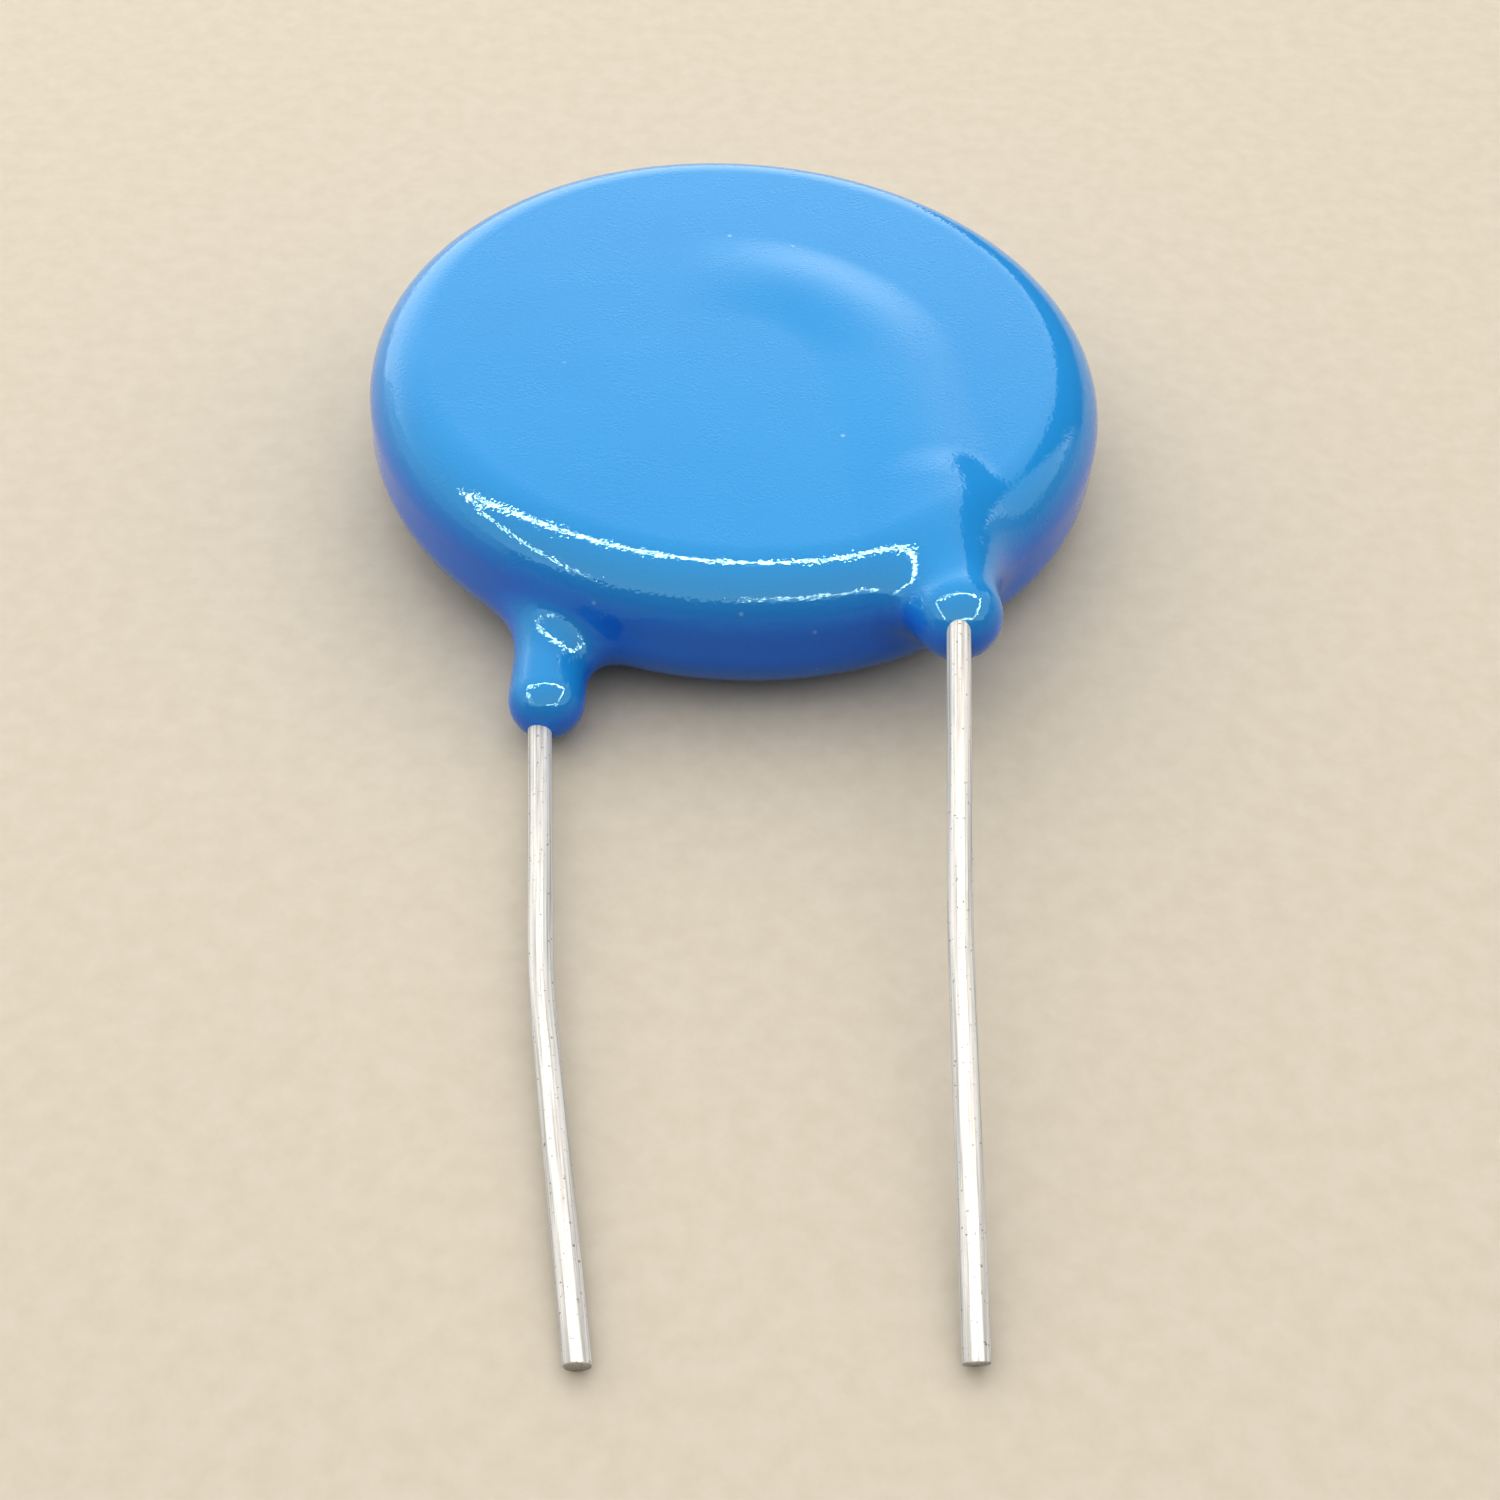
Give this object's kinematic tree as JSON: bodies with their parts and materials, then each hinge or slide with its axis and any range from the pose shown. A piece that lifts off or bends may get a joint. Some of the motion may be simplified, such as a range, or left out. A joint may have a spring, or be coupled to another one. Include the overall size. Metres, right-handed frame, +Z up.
{
  "type": "disc varistor",
  "caption": "Disc varistor in glossy blue epoxy, with formed wires that leave its rim side by side for mounting through a circuit board.",
  "frame": {"origin": "middle of the underside of the bounding box: the flat surface that the varistor lies on is z = 0", "axes": "+Z up through the disc's thickness, +Y from the wires' cut tips towards the disc, +X to the side of the wire soldered to the upper face"},
  "size_m": [0.0272, 0.0524, 0.0061],
  "materials": {
    "blue_epoxy": "glossy dipped epoxy, slightly uneven",
    "tinned_wire": "dull tinned copper with faint lengthwise streaks",
    "zinc_oxide": "matte sintered",
    "fired_silver": "matte fired silver",
    "solder": "satin solder"
  },
  "bodies": {
    "root": {"epoxy_coating": "blue_epoxy", "upper_lead": "tinned_wire", "lower_lead": "tinned_wire", "ceramic_disc": "zinc_oxide", "upper_electrode": "fired_silver", "lower_electrode": "fired_silver", "upper_solder": "solder", "lower_solder": "solder"}
  },
  "joints": []
}
